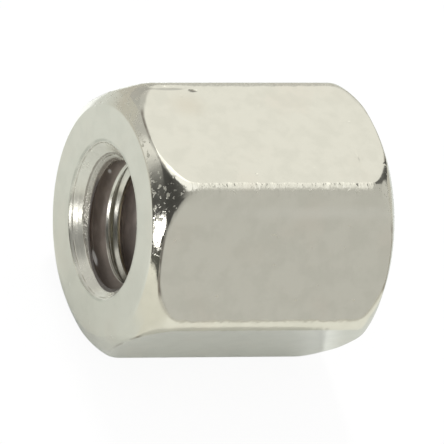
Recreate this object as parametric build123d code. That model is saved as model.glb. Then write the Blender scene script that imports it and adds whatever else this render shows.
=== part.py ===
from build123d import *
from math import cos, radians, sin, tan
import os

# Jack screw body: a short length of drawn hexagon bar with a thread right through it.
# Both ends are turned: a chamfer round the flat end face runs into a crown, which makes each
# long edge run out in a curve. Both mouths of the thread are countersunk.
#
# Millimetres. X runs along the thread, Z is up. The body lies on one of its six flats,
# the origin is under its middle, and the pair of flats across Z is level.

# ---- Driving dimensions ----

across_flats = 4.7625          # 3/16 inch spanner size
body_length = 5.05
corner_radius = 0.35           # along the six edges of the drawn bar

crown_radius = 0.90            # arc that rounds each end, seen from the side
crown_depth = 0.81             # how far in from the end face the arc meets the corners
crown_rise = 0.012             # the arc ends this much outside the corners
crown_start = 45               # slope of the arc where the chamfer meets it
chamfer_angle = 32             # slope of the chamfer, measured from the end face
rim_radius = 0.10              # softens the edge between the end face and the chamfer

thread_major_diameter = 2.845  # number 4 thread, 0.112 inch
thread_pitch = 0.635           # 40 threads to the inch
thread_engagement = 0.85       # share of the full thread height that the tap drill leaves

countersink_margin = 0.0725    # how far the mouth stands outside the thread, on radius
countersink_angle = 90         # between opposite sides of the cone
mouth_radius = 0.03            # softens the edge of the countersink

# ---- Worked out from them ----

half_length = body_length / 2

# Circle through the rounded corners, about the thread axis.
corner_reach = across_flats / 2 / cos(radians(30))
corner_circle = corner_reach - corner_radius / cos(radians(30)) + corner_radius

# The arc leaves the crown circle along X and turns in until it is as steep as crown_start.
crown_circle = corner_circle + crown_rise
chamfer_depth = crown_depth - crown_radius * cos(radians(crown_start))
chamfer_circle = crown_circle - crown_radius * (1 - sin(radians(crown_start)))
end_face_radius = chamfer_circle - chamfer_depth / tan(radians(chamfer_angle))

# A 60 degree thread is 0.866 of its pitch high, and an inside one keeps 5/8 of that.
thread_height = thread_engagement * 5 / 8 * thread_pitch * cos(radians(30))
bore_radius = thread_major_diameter / 2 - thread_height

countersink_radius = thread_major_diameter / 2 + countersink_margin
countersink_depth = (countersink_radius - bore_radius) / tan(radians(countersink_angle / 2))


def hexagon_bar():
    """The drawn bar, cut to length: six flats and six rounded edges, axis on X."""
    with BuildPart() as bar:
        with BuildSketch(Plane.YZ.offset(-half_length)) as section:
            RegularPolygon(across_flats / 2, 6, major_radius=False)
            fillet(section.vertices(), corner_radius)
        extrude(amount=body_length)
    return bar.part


def turned_envelope():
    """What the lathe leaves: flat ends, chamfers, crowns, countersinks and the tapped bore."""
    outside = crown_circle + crown_radius
    with BuildPart() as envelope:
        with BuildSketch(Plane.XZ) as section:
            with BuildLine() as half_outline:
                mouth = Line((-half_length + countersink_depth, bore_radius),
                             (-half_length, countersink_radius))
                face = Line(mouth @ 1, (-half_length, end_face_radius))
                chamfer = Line(face @ 1, (-half_length + chamfer_depth, chamfer_circle))
                crown = RadiusArc(chamfer @ 1, (-half_length + crown_depth, crown_circle), crown_radius)
                Line(crown @ 1, (-half_length + crown_depth, outside))
                Line((-half_length + crown_depth, outside), (0, outside))
                Line((0, bore_radius), mouth @ 0)
                mirror(about=Plane.YZ)
            make_face()
            rims = section.vertices().filter_by(lambda corner: abs(corner.Z - end_face_radius) < 1e-6)
            fillet(rims, rim_radius)
            mouths = section.vertices().filter_by(lambda corner: abs(corner.Z - countersink_radius) < 1e-6)
            fillet(mouths, mouth_radius)
        revolve(axis=Axis.X)
    return envelope.part


# ---- The body ----

jack_screw_body = Pos(0, 0, across_flats / 2) * (hexagon_bar() & turned_envelope())

os.makedirs("parts", exist_ok=True)
export_step(jack_screw_body, "parts/jack_screw_body.step")
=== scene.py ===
import bpy
import bmesh
from math import atan2, ceil, cos, hypot, pi, radians, sin, sqrt, tan
from mathutils import Matrix, Vector


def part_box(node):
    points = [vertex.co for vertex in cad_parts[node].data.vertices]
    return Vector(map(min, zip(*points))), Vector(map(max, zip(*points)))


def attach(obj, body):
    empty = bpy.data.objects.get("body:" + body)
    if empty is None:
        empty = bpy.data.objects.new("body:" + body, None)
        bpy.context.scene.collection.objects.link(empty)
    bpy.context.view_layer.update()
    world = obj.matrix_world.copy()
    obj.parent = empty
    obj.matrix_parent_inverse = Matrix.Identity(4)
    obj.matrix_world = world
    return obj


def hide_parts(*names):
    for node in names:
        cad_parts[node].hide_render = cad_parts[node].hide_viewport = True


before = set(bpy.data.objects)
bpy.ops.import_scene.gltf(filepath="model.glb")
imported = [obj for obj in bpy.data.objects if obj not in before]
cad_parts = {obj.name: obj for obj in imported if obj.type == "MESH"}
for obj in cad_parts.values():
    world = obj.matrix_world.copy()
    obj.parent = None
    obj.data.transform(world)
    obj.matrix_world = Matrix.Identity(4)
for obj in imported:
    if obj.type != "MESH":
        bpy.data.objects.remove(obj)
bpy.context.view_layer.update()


# ---- Turned blank ----
# A short length of drawn hexagon bar, turned on both ends so that its long edges run out in a
# chamfer and a crown, with a countersunk mouth in each end face. The lathe makes it round
# first, and the six flats are the bar's own skin, left where the tool did not reach.

mm = 0.001
low, high = (Vector(corner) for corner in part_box("jack_screw_body"))
half_length = (high.x - low.x) / 2
across_flats = high.z - low.z
axis_height = low.z + across_flats / 2

corner_radius = 0.35 * mm
corner_centre = (across_flats / 2 - corner_radius) / cos(pi / 6)
corner_reach = corner_centre + corner_radius
crown_clearance = 0.012 * mm
crown_reach = corner_reach + crown_clearance
crown_radius = 0.90 * mm
crown_depth = 0.81 * mm
chamfer_angle = radians(32)
crown_start = radians(45)
knee_depth = crown_depth - crown_radius * cos(crown_start)
knee_radius = crown_reach - crown_radius * (1 - sin(crown_start))
end_face_radius = knee_radius - knee_depth / tan(chamfer_angle)
mouth_radius = 1.495 * mm
bore_radius = 1.13 * mm
pilot_radius = 1.0 * mm

crown_steps = 28
steps_per_side = 80
merge_distance = 0.0005 * mm
tolerance = 1e-9


def along_line(start, end, shares):
    """Points at these shares of the way from start to end."""
    run = end[0] - start[0]
    rise = end[1] - start[1]
    return [(start[0] + run * share, start[1] + rise * share) for share in shares]


# Half of the blank's outline, as (distance in from the end face, distance from the axis). The
# points within a straight stretch keep the faces there from growing long and thin.
mouth_margin = mouth_radius + 0.15 * mm
face_margin = end_face_radius - 0.12 * mm
stock_radius = crown_reach + 0.5 * mm
half_outline = [(mouth_radius - pilot_radius, pilot_radius), (0, mouth_radius)]
half_outline += [(0, mouth_margin), (0, face_margin)]
half_outline += along_line((0, end_face_radius), (knee_depth, knee_radius), (0, 0.2, 0.4, 0.6, 0.8))
for step in range(crown_steps + 1):
    turn = crown_start + (pi / 2 - crown_start) * step / crown_steps
    inset = crown_depth - crown_radius * cos(turn)
    half_outline.append((inset, crown_reach - crown_radius * (1 - sin(turn))))
half_outline += along_line((crown_depth, stock_radius), (half_length, stock_radius), (0.03, 0.2, 0.4, 0.7))

blank = bmesh.new()
outline = [blank.verts.new((inset - half_length, 0, radius)) for inset, radius in half_outline]
outline += [blank.verts.new((half_length - inset, 0, radius)) for inset, radius in reversed(half_outline)]
for pair in zip(outline, outline[1:] + outline[:1]):
    blank.edges.new(pair)

# The edge of the mouth, the edge of the end face and the knee between chamfer and crown are
# all a little round under the plating: (radius where it lies, size of rounding, segments).
softened = ((mouth_radius, 0.025 * mm, 4), (end_face_radius, 0.03 * mm, 4), (knee_radius, 0.02 * mm, 3))
for edge_radius, rounding, segments in softened:
    points = [vert for vert in blank.verts if abs(vert.co.z - edge_radius) < tolerance]
    bmesh.ops.bevel(blank, geom=points, offset=rounding, affect="VERTICES", segments=segments,
                    profile=0.5, material=-1)


def verts_in(geometry):
    return [item for item in geometry if isinstance(item, bmesh.types.BMVert)]


bmesh.ops.spin(blank, geom=blank.verts[:] + blank.edges[:], cent=(0, 0, 0), axis=(1, 0, 0),
               angle=pi / 3, steps=steps_per_side)
sixth = blank.verts[:] + blank.edges[:] + blank.faces[:]
for side in range(1, 6):
    copied = bmesh.ops.duplicate(blank, geom=sixth)["geom"]
    bmesh.ops.rotate(blank, cent=(0, 0, 0), matrix=Matrix.Rotation(side * pi / 3, 3, "X"),
                     verts=verts_in(copied))
bmesh.ops.remove_doubles(blank, verts=blank.verts, dist=merge_distance)


def bar_reach(angle):
    """Distance from the axis to the skin of the drawn bar, whose corners point along Y."""
    off_corner = abs((angle + pi / 6) % (pi / 3) - pi / 6)
    corner_end = atan2(corner_radius / 2, corner_centre + corner_radius * cos(pi / 6))
    if off_corner > corner_end:
        return across_flats / 2 / cos(pi / 6 - off_corner)
    aside = corner_centre * sin(off_corner)
    return corner_centre * cos(off_corner) + sqrt(corner_radius ** 2 - aside ** 2)


def blended_min(one, other, rounding):
    """The smaller of two lengths, with the step from one to the other rounded over."""
    overlap = max(rounding - abs(one - other), 0) / rounding
    return min(one, other) - overlap ** 2 * rounding / 4


# The skin of the bar cuts off what the lathe would leave outside it. The edge between a flat
# and a turned end is slightly rounded, as plating leaves it. It gets rounder as the crown
# falls away from the flat, up to a slope of about 2 in 3, and crisper again on the chamfer.
# The end face and the mouth lie well within the bar and stay as turned.
plated_edge = 0.125 * mm
crispest_edge = 0.004 * mm
roundest_slope = sqrt(0.45)
as_turned = end_face_radius + 0.05 * mm
for vert in blank.verts:
    reach = hypot(vert.co.y, vert.co.z)
    if reach < as_turned:
        continue
    inset = half_length - abs(vert.co.x)
    fall = min(max(crown_depth - inset, 0) / crown_radius, cos(crown_start))
    slope = fall / sqrt(1 - fall ** 2)
    roundness = min(slope, roundest_slope ** 2 / slope) if slope else 0
    rounding = plated_edge * roundness + crispest_edge
    skin = blended_min(reach, bar_reach(atan2(vert.co.z, vert.co.y)), rounding)
    vert.co.yz = vert.co.yz * (skin / reach)

blank_mesh = bpy.data.meshes.new("jack_screw_body_plated")
bmesh.ops.recalc_face_normals(blank, faces=blank.faces)
blank.to_mesh(blank_mesh)
blank.free()
body = bpy.data.objects.new("jack_screw_body_plated", blank_mesh)
bpy.context.collection.objects.link(body)


# ---- Thread ----
# A right-hand thread, 40 turns to the inch, made right through the blank by a tap, with the
# seam along its crest that a forming tap leaves. The tap is one turn of its outline wound
# along the bore, and is taken away once it has cut.

pitch = 0.635 * mm
root_radius = 1.4225 * mm
lip_radius = bore_radius + 0.02 * mm
seam_radius = bore_radius + 0.115 * mm
thread_start = 0.0925 * mm
flank_width = (root_radius - bore_radius) * sqrt(1 / 3)

# Where each stretch of one turn lies along the bore: the lip, the seam, the crest, the root
# between its two flanks, and the foot of the next turn's lip. All corners are a little
# round, but for the start of the lip and its foot.
lip_foot = 0.0167 * mm
lip_start = 0.0468 * mm
lip_end = 0.064 * mm
seam_start = 0.092 * mm
seam_end = 0.129 * mm
crest_start = 0.222 * mm
crest_end = 0.27 * mm
root_start = crest_end + flank_width
root_end = pitch - flank_width + 0.02 * mm
lip_foot_radius = lip_radius + 0.0334 * mm
tap_outline = [(lip_start, lip_radius), (lip_end, lip_radius),
               (seam_start, seam_radius), (seam_end, seam_radius),
               (crest_start, bore_radius), (crest_end, bore_radius),
               (root_start, root_radius), (root_end, root_radius),
               (pitch + lip_foot, lip_foot_radius), (pitch + lip_start, lip_radius)]

spare_turns = 2
turn_count = ceil(2 * half_length / pitch) + 1 + 2 * spare_turns
steps_per_turn = 120
tap_rounding = 0.014 * mm
tap = bmesh.new()
first_turn = thread_start - half_length - spare_turns * pitch
points = [tap.verts.new((first_turn + along, radius, 0)) for along, radius in tap_outline]
for pair in zip(points, points[1:]):
    tap.edges.new(pair)
bmesh.ops.bevel(tap, geom=points[1:-2], offset=tap_rounding, affect="VERTICES", segments=3,
                profile=0.5, material=-1)
bmesh.ops.spin(tap, geom=tap.verts[:] + tap.edges[:], cent=(0, 0, 0), axis=(1, 0, 0),
               dvec=(pitch / steps_per_turn, 0, 0), angle=2 * pi, steps=steps_per_turn)
one_turn = tap.verts[:] + tap.edges[:] + tap.faces[:]
for turn in range(1, turn_count):
    copied = bmesh.ops.duplicate(tap, geom=one_turn)["geom"]
    bmesh.ops.translate(tap, vec=(turn * pitch, 0, 0), verts=verts_in(copied))
bmesh.ops.remove_doubles(tap, verts=tap.verts, dist=merge_distance)

tap_overrun = 0.2 * mm
tap_end = half_length + tap_overrun
for side in (-1, 1):
    cut = bmesh.ops.bisect_plane(tap, geom=tap.verts[:] + tap.edges[:] + tap.faces[:], dist=tolerance,
                                 plane_co=(side * tap_end, 0, 0), plane_no=(side, 0, 0), clear_outer=True)
    rim = [item for item in cut["geom_cut"] if isinstance(item, bmesh.types.BMEdge)]
    bmesh.ops.edgeloop_fill(tap, edges=rim)
bmesh.ops.recalc_face_normals(tap, faces=tap.faces)
tap_mesh = bpy.data.meshes.new("tap")
tap.to_mesh(tap_mesh)
tap.free()
tap_tool = bpy.data.objects.new("tap", tap_mesh)
bpy.context.collection.objects.link(tap_tool)

cutting = body.modifiers.new("tapping", "BOOLEAN")
cutting.operation = "DIFFERENCE"
cutting.solver = "MANIFOLD"
cutting.object = tap_tool
tapped = bpy.data.meshes.new_from_object(body.evaluated_get(bpy.context.evaluated_depsgraph_get()))
body.modifiers.clear()
body.data = tapped
bpy.data.objects.remove(tap_tool)
tapped.transform(Matrix.Translation((0, 0, axis_height)))
tapped.shade_smooth()
crisp_edge_angle = 0.6
tapped.set_sharp_from_angle(angle=crisp_edge_angle)

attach(body, "root")
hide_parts("jack_screw_body")


# ---- Nickel plate ----
# Bright nickel over the drawn and turned brass: slightly warm and mirror-like. Draw lines run
# along the flats and tool rings round the turned ends, and the thread grooves are duller.

plate = bpy.data.materials.new("bright_nickel")
plate.use_nodes = True
nodes = plate.node_tree.nodes
links = plate.node_tree.links
nickel = nodes["Principled BSDF"]


def connect(socket, value):
    """Give a socket a plain number, a vector or what comes out of another socket."""
    if isinstance(value, (int, float, tuple, Vector)):
        socket.default_value = value
    else:
        links.new(value, socket)


def maths(operation, first, second=0):
    """One step of arithmetic, in the material that nodes and links belong to."""
    node = nodes.new("ShaderNodeMath")
    node.operation = operation
    connect(node.inputs[0], first)
    connect(node.inputs[1], second)
    return node.outputs["Value"]


def product(first, *others):
    """All the values multiplied together."""
    for other in others:
        first = maths("MULTIPLY", first, other)
    return first


def total(first, *others):
    """All the values added up."""
    for other in others:
        first = maths("ADD", first, other)
    return first


def fade(value, start, end, low=0, high=1):
    """low before start, high past end, and a smooth change between them."""
    node = nodes.new("ShaderNodeMapRange")
    node.interpolation_type = "SMOOTHSTEP"
    connect(node.inputs["Value"], value)
    connect(node.inputs["From Min"], start)
    connect(node.inputs["From Max"], end)
    connect(node.inputs["To Min"], low)
    connect(node.inputs["To Max"], high)
    return node.outputs["Result"]


def between(value, below, above):
    """One from below up to above. Each is (where it is nothing, where it is whole)."""
    return product(fade(value, *below), fade(value, *above))


def blend(share, first, second):
    """The first colour, with this share of the second over it."""
    node = nodes.new("ShaderNodeMix")
    node.data_type = "RGBA"
    connect(node.inputs["Factor"], share)
    connect(node.inputs["A"], first)
    connect(node.inputs["B"], second)
    return node.outputs["Result"]


def grain(place, scale, stretch=(1, 1, 1), detail=2, offset=(0, 0, 0)):
    """Noise of so many lumps to the millimetre."""
    stretched = nodes.new("ShaderNodeMapping")
    connect(stretched.inputs["Vector"], place)
    stretched.inputs["Scale"].default_value = stretch
    stretched.inputs["Location"].default_value = offset
    noise = nodes.new("ShaderNodeTexNoise")
    connect(noise.inputs["Vector"], stretched.outputs["Vector"])
    noise.inputs["Scale"].default_value = scale
    noise.inputs["Detail"].default_value = detail
    return noise.outputs["Fac"]


def along_vector(place, vector):
    """How far out a place lies in the direction of a vector."""
    node = nodes.new("ShaderNodeVectorMath")
    node.operation = "DOT_PRODUCT"
    connect(node.inputs[0], place)
    node.inputs[1].default_value = vector
    return node.outputs["Value"]


def distance_from(place, middle, scale=(1, 1, 1)):
    """How far a place is from middle, with each direction counted scale times."""
    moved = nodes.new("ShaderNodeMapping")
    connect(moved.inputs["Vector"], place)
    moved.inputs["Scale"].default_value = scale
    moved.inputs["Location"].default_value = [-offset * times for offset, times in zip(middle, scale)]
    length = nodes.new("ShaderNodeVectorMath")
    length.operation = "LENGTH"
    connect(length.inputs[0], moved.outputs["Vector"])
    return length.outputs["Value"]


def spot(place, middle, size):
    """One in the middle of an oval spot, fading to nothing at its rim."""
    return fade(distance_from(place, middle, [1 / width for width in size]), 1, 0)


# Places on the part, all in millimetres from here on. X runs along the bore, from its middle.
coordinates = nodes.new("ShaderNodeTexCoord")
centred = nodes.new("ShaderNodeMapping")
connect(centred.inputs["Vector"], coordinates.outputs["Object"])
centred.inputs["Scale"].default_value = (1 / mm, 1 / mm, 1 / mm)
centred.inputs["Location"].default_value = (0, 0, -axis_height / mm)
place = centred.outputs["Vector"]
along_bore = along_vector(place, (1, 0, 0))
upward = along_vector(place, (0, 0, 1))
reach = distance_from(place, (0, 0, 0), (0, 1, 1))
from_middle = maths("ABSOLUTE", along_bore)
from_end = maths("SUBTRACT", half_length / mm, from_middle)
across = maths("ABSOLUTE", upward)
for side in (-1, 1):
    across_side = along_vector(place, (0, side * sqrt(3 / 4), 1 / 2))
    across = maths("MAXIMUM", across, maths("ABSOLUTE", across_side))
flat_height = across_flats / 2 / mm
below_flat = maths("SUBTRACT", flat_height, across)

on_flat = fade(below_flat, 0.020, 0.004)
on_corner = fade(reach, corner_reach / mm - 0.04, corner_reach / mm - 0.01)
off_face = maths("SUBTRACT", reach, end_face_radius / mm)
on_crown = product(fade(off_face, 0.004, 0.054), fade(below_flat, 0.009, 0.019))

# The mouth has two lines that the countersink left: one near its edge, a little off centre,
# and one at a faint step near its foot.
line_radius = 1.455
line_centre = (0, -0.010, 0.025)
step_radius = 1.268
inside_edge = maths("SUBTRACT", mouth_radius / mm, reach)
past_cone = maths("SUBTRACT", from_end, inside_edge)
in_bore = product(fade(past_cone, 0.02, 0.05), fade(inside_edge, 0.005, 0.025))
in_mouth = product(maths("SUBTRACT", 1, in_bore), fade(inside_edge, -0.005, 0.035))
from_line = maths("SUBTRACT", distance_from(place, line_centre, (0, 1, 1)), line_radius)
from_step = maths("SUBTRACT", reach, step_radius)
edge_line = between(from_line, (-0.015, 0), (0.015, 0))
step_line = between(from_step, (-0.006, 0.010), (0.028, 0.010))
line_wear = fade(grain(place, 5, detail=3, offset=(2, 0, 0)), 0.30, 0.60)
tool_lines = product(total(edge_line, step_line), in_mouth, line_wear)

# One turn of the thread counts from 0 at the foot of its lip, through the crest and the
# groove, to 1. Below the axis the foot of the mouth is as dark as the groove beside it.
crest_share = (crest_end - lip_foot) / pitch
turns_in = maths("DIVIDE", along_bore, pitch / mm)
turns_in = maths("ADD", turns_in, (half_length - thread_start - lip_foot) / pitch + 10)
turned = maths("DIVIDE", maths("ARCTAN2", upward, along_vector(place, (0, 1, 0))), 2 * pi)
through_turn = maths("FRACT", maths("SUBTRACT", turns_in, turned))
in_groove = product(between(through_turn, (crest_share, crest_share + 0.03), (1, 0.98)), in_bore)
worn_crest = product(between(through_turn, (crest_share - 0.05, crest_share), (0.7, 0.6)), in_bore)
dark_edge = maths("ADD", from_step, along_vector(place, (0, 0.078, 0)))
dark_foot = product(in_mouth, fade(dark_edge, 0.010, -0.010), fade(upward, 0, -0.2))
in_groove = maths("MAXIMUM", in_groove, dark_foot)
lowness = along_vector(place, (0, -0.5, -1))

# Relief, as heights: the ripple of the plating, the draw lines of the bar, what the tools
# left on the turned ends and in the mouth, rubbed long edges, scuffed crowns and dents.
orange_peel = product(grain(place, 22), 0.0006)
waviness = product(grain(place, 3.5), 0.0010)
draw_lines = product(grain(place, 10, stretch=(0.03, 1, 1)), on_flat, 0.0004)
round_axis = nodes.new("ShaderNodeCombineXYZ")
connect(round_axis.inputs["X"], from_middle)
connect(round_axis.inputs["Y"], reach)
ring_place = round_axis.outputs["Vector"]
tool_rings = product(grain(ring_place, 12), maths("SUBTRACT", 1, on_flat), 0.0005)
mouth_rings = product(grain(ring_place, 14, detail=3), in_mouth, 0.0028)
in_foot = product(in_mouth, fade(from_step, 0.032, 0.002))
chatter = product(grain(place, 12, detail=3, offset=(0, 4.2, 0)), in_foot, 0.02)
rubbing = maths("SUBTRACT", grain(place, 7, stretch=(1, 0.5, 0.5), detail=3), 0.5)
worn_corner = product(rubbing, on_corner, 0.018)
more_by_face = fade(reach, 2.45, 2.30, 0, 0.03)
scuffs = fade(maths("ADD", grain(place, 11, detail=2, offset=(0.3, 0.8, 0)), more_by_face), 0.59, 0.68)
scuffs = product(scuffs, on_crown, fade(upward, 0.6, 2.0, 0.15, 1))
pits = product(fade(grain(place, 4.5, detail=1, offset=(0, 0, 6.1)), 0.73, 0.80), -0.004)
nick = spot(place, (-1.12, 1.12, flat_height), (0.12, 0.05, 0.1))
bruise = spot(place, (-1.60, 1.20, flat_height - 0.011), (0.60, 0.09, 0.1))
scratch = spot(place, (1.755, -0.58, flat_height), (0.04, 0.20, 0.1))
dents = total(product(nick, -0.020), product(bruise, -0.020), product(scratch, -0.006))
small_dents = ((-1.12, -2.442, 0.533), (0.536, -2.486, 0.457), (1.749, -2.490, 0.451), (-2.525, 1.694, 1.443))
for middle in small_dents:
    dents = total(dents, product(spot(place, middle, (0.09, 0.07, 0.07)), -0.006))
relief = nodes.new("ShaderNodeBump")
relief.inputs["Strength"].default_value = 1
relief.inputs["Distance"].default_value = mm
outside_height = total(orange_peel, waviness, draw_lines, tool_rings, worn_corner, product(scuffs, 0.0015))
mouth_height = total(mouth_rings, chatter, product(tool_lines, -0.005))
connect(relief.inputs["Height"], total(outside_height, mouth_height, pits, dents))
connect(nickel.inputs["Normal"], relief.outputs["Normal"])

# Colour of the outside: clean plate, warmer and duller in patches, with a brown mark and a
# dark nick on the upper flat, and a paler stripe that drawing left on the flat below it. The
# nick's dark colour is partly a brown spot and partly painted shade in the dent.
clean_plate = (0.82, 0.805, 0.72, 1)
warm_plate = (0.82, 0.775, 0.685, 1)
dull_plate = (0.72, 0.71, 0.63, 1)
brown_mark = (0.62, 0.52, 0.38, 1)
pale_stripe = (0.92, 0.91, 0.84, 1)
nick_brown_and_shade = (0.20, 0.18, 0.14, 1)
stain = fade(grain(place, 0.9, detail=3, offset=(3.1, 0.4, 2.2)), 0.50, 0.72)
mottling = fade(grain(place, 2.6, detail=4, offset=(0.7, 5.2, 1.3)), 0.40, 0.65)
browned = product(spot(place, (-1.35, 0.75, flat_height), (0.55, 0.45, 0.1)), fade(stain, 0, 0.4, 0.5, 1))
striped = spot(place, (0.9, -1.61, 1.965), (2.8, 0.2, 0.2))
colour = blend(product(stain, 0.5), clean_plate, warm_plate)
colour = blend(product(mottling, 0.4), colour, dull_plate)
colour = blend(product(browned, 0.45), colour, brown_mark)
colour = blend(product(nick, 0.8), colour, nick_brown_and_shade)
colour = blend(product(striped, 0.4), colour, pale_stripe)

# Grime in the tool's lines, in the mouth and round its edge. Where the crown meets a flat the
# plate is darker in a thin line, less so near the bottom.
colour = blend(product(tool_lines, 0.6), colour, (0.30, 0.27, 0.21, 1))
edge_grime = fade(grain(place, 2.5, detail=3, offset=(2, 1, 0)), 0.35, 0.60, 0.1, 0.5)
edge_grime = product(between(from_line, (0.010, 0.040), (0.090, 0.055)), edge_grime)
colour = blend(edge_grime, colour, (0.40, 0.41, 0.35, 1))
crown_edge_darkening = product(between(below_flat, (0.036, 0.019), (0.001, 0.011)), fade(reach, 2.50, 2.44),
                      fade(grain(place, 2, offset=(8, 0, 0)), 0.35, 0.60), fade(upward, -1.9, -0.6, 0.2, 0.8))
colour = blend(crown_edge_darkening, colour, (0.25, 0.21, 0.17, 1))

# Grime at the foot of the mouth, then the brass that shows where the crest is worn, and the
# lip made darker in the lower part of the bore.
step_dirt = fade(maths("ABSOLUTE", from_step), 0.024, 0.006, 0, 0.6)
foot_dirt = fade(from_step, -0.006, -0.028, 0, 0.42)
foot_dirt = maths("MAXIMUM", foot_dirt, fade(from_step, -0.043, -0.093, 0, 0.95))
foot_dirt = maths("MAXIMUM", foot_dirt, step_dirt)
colour = blend(product(foot_dirt, in_mouth), colour, (0.20, 0.17, 0.14, 1))
colour = blend(worn_crest, colour, (0.70, 0.58, 0.38, 1))
lip_darker_below = product(fade(through_turn, 0.12, 0.08), fade(lowness, 0.7, 0.95, 0, 0.75))
colour = blend(product(in_bore, lip_darker_below), colour, (0.22, 0.20, 0.17, 1))

# The grooves are dull and brown, with painted light making them paler further in and painted
# shade making them black towards the bottom. They are black with dirt beside the mouth, streaked
# along the cut, and have two painted highlights as bright flecks.
flank_brown = (0.345, 0.28, 0.235, 1)
root_brown = (0.32, 0.265, 0.225, 1)
painted_light_brown = (0.53, 0.455, 0.41, 1)
painted_shade_black = (0.08, 0.067, 0.055, 1)
mouth_dirt = (0.10, 0.085, 0.075, 1)
streak_dirt = (0.05, 0.04, 0.035, 1)
painted_glint_colour = (0.97, 0.95, 0.93, 1)
cut_streaks = fade(grain(place, 9, stretch=(1, 0.3, 0.3), detail=3), 0.35, 0.65, 0.3, 0)
groove_colour = blend(fade(through_turn, 0.62, 0.92), flank_brown, root_brown)
# Painted light makes the grooves paler further from the end.
groove_colour = blend(fade(from_end, 0.65, 0.95), groove_colour, painted_light_brown)
# Painted shade makes the grooves black towards the bottom.
groove_colour = blend(fade(lowness, 0.9, 1.25, 0, 0.5), groove_colour, painted_shade_black)
groove_colour = blend(in_mouth, groove_colour, mouth_dirt)
groove_colour = blend(cut_streaks, groove_colour, streak_dirt)
# Two painted highlights: near-white flecks in the grooves, where edges catch the light.
painted_glint_spots = (((-2.095, 0.31, -1.375), (0.05, 0.27, 0.11)), ((-1.92, 1.325, -0.09), (0.07, 0.07, 0.075)))
for middle, size in painted_glint_spots:
    groove_colour = blend(fade(spot(place, middle, size), 0, 0.6), groove_colour, painted_glint_colour)
connect(nickel.inputs["Base Color"], blend(in_groove, colour, groove_colour))

# The mouth, the bore and the scuffs are rougher than the drawn skin, and the dirt in the
# mouth and the grooves hides the metal.
skin_roughness = fade(grain(place, 6, detail=3, offset=(1.7, 0, 0)), 0.35, 0.7, 0.08, 0.14)
bore_roughness = total(product(in_mouth, 0.14), product(in_groove, 0.15), product(in_bore, 0.13))
roughness = total(skin_roughness, bore_roughness, product(scuffs, 0.45))
dirt_cover = total(product(in_groove, 0.9), product(in_mouth, 0.35))
connect(nickel.inputs["Roughness"], roughness)
connect(nickel.inputs["Metallic"], maths("SUBTRACT", 1, dirt_cover))
body.data.materials.clear()
body.data.materials.append(plate)


# ---- Paper ----
# The part lies on a sheet of white paper, plain white to the camera. What the plating mirrors
# of it is painted light and shade: brighter near the part than further off, brighter under the
# part's near side than beyond its ends, warmer in front than behind, and a painted dark patch
# past its left edge.

half_sheet = 500 * mm
sheet = bmesh.new()
bmesh.ops.create_grid(sheet, x_segments=1, y_segments=1, size=half_sheet)
floor_mesh = bpy.data.meshes.new("floor")
sheet.to_mesh(floor_mesh)
sheet.free()
floor = bpy.data.objects.new("floor", floor_mesh)
bpy.context.collection.objects.link(floor)

paper = bpy.data.materials.new("white_paper")
paper.use_nodes = True
nodes = paper.node_tree.nodes
links = paper.node_tree.links
lit_paper = nodes["Principled BSDF"]
lit_paper.inputs["Roughness"].default_value = 0.9
lit_paper.inputs["Specular IOR Level"].default_value = 0

coordinates = nodes.new("ShaderNodeTexCoord")
place = coordinates.outputs["Object"]
leftward = along_vector(place, (-1, 0, 0))
from_part = distance_from(place, (0, 0, 0))
# Painted light and shade, seen only in reflections: warm in front and darker further left there, bright under
# the part's near side and darker beyond its ends, and darker further off.
painted_light_in_front = blend(fade(leftward, 2 * mm, 4 * mm), (0.74, 0.74, 0.69, 1), (0.64, 0.635, 0.575, 1))
off_middle = maths("ABSOLUTE", leftward)
painted_light_behind = blend(fade(off_middle, 2.1 * mm, 3.0 * mm), (0.97, 1, 1, 1), (0.63, 0.65, 0.625, 1))
painted_light_on_paper = blend(fade(along_vector(place, (0, 1, 0)), -2.9 * mm, -2.2 * mm), painted_light_in_front, painted_light_behind)
painted_light_on_paper = blend(fade(from_part, 7 * mm, 26 * mm), painted_light_on_paper, (0.49, 0.48, 0.435, 1))
# A painted dark patch past the left edge, seen only in reflections: painted shade that the plating mirrors on
# that side.
painted_dark_past_edge = fade(leftward, 11.5 * mm, 15.5 * mm)
for slant in ((-0.28, -1, 0), (-0.7, 1, 0)):
    painted_dark_past_edge = product(painted_dark_past_edge, fade(along_vector(place, slant), -2 * mm, 2 * mm))
painted_light_on_paper = blend(painted_dark_past_edge, painted_light_on_paper, (0.08, 0.08, 0.07, 1))
seen = nodes.new("ShaderNodeLightPath").outputs["Is Camera Ray"]
connect(lit_paper.inputs["Base Color"], blend(seen, painted_light_on_paper, (1, 1, 1, 1)))
plain_white = nodes.new("ShaderNodeEmission")
plain_white.inputs["Strength"].default_value = 1
paper_look = nodes.new("ShaderNodeMixShader")
connect(paper_look.inputs["Fac"], product(seen, 0.93))
connect(paper_look.inputs[1], lit_paper.outputs["BSDF"])
connect(paper_look.inputs[2], plain_white.outputs["Emission"])
connect(nodes["Material Output"].inputs["Surface"], paper_look.outputs["Shader"])
floor.data.materials.append(paper)


# ---- Studio ----
# Plain soft light from all round, with a little more from a window behind. The plating
# mirrors the room in rings, from table level to overhead: white behind and above, grey in
# front and a dark gap on the left, with a small bright lamp low in that gap.

world = bpy.data.worlds.new("studio")
bpy.context.scene.world = world
world.use_nodes = True
nodes = world.node_tree.nodes
links = world.node_tree.links
coordinates = nodes.new("ShaderNodeTexCoord")
look = coordinates.outputs["Generated"]
rise = along_vector(look, (0, 0, 1))
heading = maths("ARCTAN2", along_vector(look, (0, 1, 0)), along_vector(look, (1, 0, 0)))
heading = maths("ADD", maths("DIVIDE", heading, 2 * pi), 0.5)
warm_grey = Vector((1, 0.995, 0.95))


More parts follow.
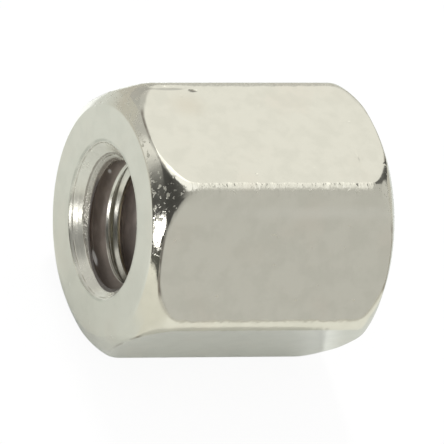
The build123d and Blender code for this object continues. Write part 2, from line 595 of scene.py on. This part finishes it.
def ring(stops):
    """What stands round the part at one height, as (degrees from +X towards +Y, brightness)."""
    ramp = nodes.new("ShaderNodeValToRGB")
    elements = ramp.color_ramp.elements
    elements.remove(elements[1])
    for degrees, value in stops:
        stop = elements.new((degrees + 180) / 360) if degrees > -180 else elements[0]
        stop.color = (*(warm_grey * value), 1)
    connect(ramp.inputs["Fac"], heading)
    return ramp.outputs["Color"]


def from_height(start, end):
    """Nothing up to one height over the horizon and all from the other, in degrees."""
    return fade(rise, sin(radians(start)), sin(radians(end)))


table_level = ring([(-180, 0.06), (-157, 0.09), (-150, 0.28), (-125, 0.33), (-100, 0.45), (-75, 0.57),
                    (-15, 0.60), (12, 0.63), (17, 0.10), (30, 0.10), (35, 0.85), (50, 0.82), (60, 0.72),
                    (76, 0.45), (120, 0.52), (139, 0.54), (144, 0.88), (150, 0.88), (156, 0.62),
                    (161, 0.28), (168, 0.10), (180, 0.06)])
eye_level = ring([(-180, 0.06), (-112, 0.08), (-101, 0.38), (-85, 0.50), (-60, 0.58), (-15, 0.57), (5, 0.55),
                  (10, 0.14), (30, 0.14), (36, 0.90), (62, 0.93), (78, 0.6), (110, 0.55), (140, 0.52),
                  (145, 0.75), (148, 0.70), (153, 0.28), (163, 0.10), (180, 0.06)])
high_up = ring([(-180, 0.10), (-140, 0.10), (-112, 0.30), (-75, 0.47), (-40, 0.58), (-14, 0.75),
                (-6, 0.90), (22, 0.95), (40, 1.1), (55, 1.5), (105, 1.6), (122, 1.2), (132, 0.55),
                (150, 0.3), (170, 0.12), (180, 0.10)])
overhead = (1.12, 1.12, 1.10, 1)
room = blend(from_height(19, 25), table_level, eye_level)
room = blend(from_height(50, 58), room, high_up)
room = blend(from_height(66, 72), room, overhead)
ray = nodes.new("ShaderNodeLightPath")
soft_light = blend(ray.outputs["Is Camera Ray"], (0.85, 0.85, 0.85, 1), (1, 1, 1, 1))
connect(nodes["Background"].inputs["Color"], blend(ray.outputs["Is Glossy Ray"], soft_light, room))

window_data = bpy.data.lights.new("window", "SUN")
window_data.energy = 1.3
window_data.angle = radians(8)
window = bpy.data.objects.new("window", window_data)
bpy.context.collection.objects.link(window)
window.rotation_euler = Vector((0.05, 0.57, 0.82)).to_track_quat("Z", "Y").to_euler()
window.visible_glossy = False

lamp_width = 2.9 * mm
lamp_brightness = 5
lamp_data = bpy.data.lights.new("lamp", "AREA")
lamp_data.shape = "RECTANGLE"
lamp_data.size = lamp_width
lamp_data.size_y = lamp_width
lamp_data.energy = lamp_brightness * pi * lamp_width ** 2
lamp = bpy.data.objects.new("lamp", lamp_data)
bpy.context.collection.objects.link(lamp)
lamp.location = Vector((-14.8, -2.75, 3.35)) * mm
lamp.rotation_euler = Vector((-1, -0.1, 0)).to_track_quat("Z", "Y").to_euler()
lamp.visible_camera = False


# ---- Camera ----
# A long lens, far off, looks down on the left end and the near side of the part. It is
# tilted so that the bore lies level in its view.

camera_heading = radians(-125.947)
camera_height = radians(41.82)
camera_tilt = radians(25.592)
camera_shift = Vector((-0.0201, -0.0345, 320.5)) * mm
camera_data = bpy.data.cameras.new("camera")
camera_data.sensor_width = 36
camera_data.lens = 1381.2
camera_data.clip_start = 0.01
camera = bpy.data.objects.new("camera", camera_data)
bpy.context.collection.objects.link(camera)
aimed = Matrix.Rotation(camera_heading + pi / 2, 4, "Z") @ Matrix.Rotation(pi / 2 - camera_height, 4, "X")
aimed = aimed @ Matrix.Rotation(camera_tilt, 4, "Z")
camera.matrix_world = Matrix.Translation((0, 0, axis_height)) @ aimed @ Matrix.Translation(camera_shift)
bpy.context.scene.camera = camera
bpy.context.scene.view_settings.view_transform = "Standard"
